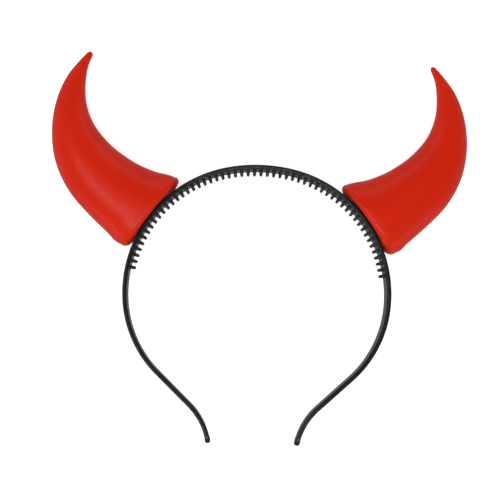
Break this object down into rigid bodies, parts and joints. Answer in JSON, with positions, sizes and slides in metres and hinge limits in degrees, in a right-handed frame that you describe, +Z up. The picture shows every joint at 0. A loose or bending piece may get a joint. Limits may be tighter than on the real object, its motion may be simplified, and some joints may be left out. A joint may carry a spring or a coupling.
{
  "type": "devil horns headband",
  "caption": "Black plastic comb headband with a pair of hollow red devil horns on its outer face, lying on the undersides of the horns.",
  "frame": {"origin": "on the floor, under the middle of the bounding box of the headband as it lies", "axes": "+X across the head from the horn on the left of the picture to the other, +Y along the floor from the band's open ends to the horns' tips, +Z up, towards the front of the band that the picture shows"},
  "size_m": [0.2058, 0.1898, 0.024],
  "materials": {
    "band_plastic": "black injection-moulded plastic, smooth with a satin gloss",
    "horn_vinyl": "red moulded vinyl, smooth with a soft satin sheen",
    "peg_plastic": "plain grey plastic, hidden inside the horns"
  },
  "bodies": {
    "root": {"comb_band": "band_plastic", "horn_left": "horn_vinyl", "horn_right": "horn_vinyl", "horn_peg_left": "peg_plastic", "horn_peg_right": "peg_plastic"}
  },
  "joints": []
}
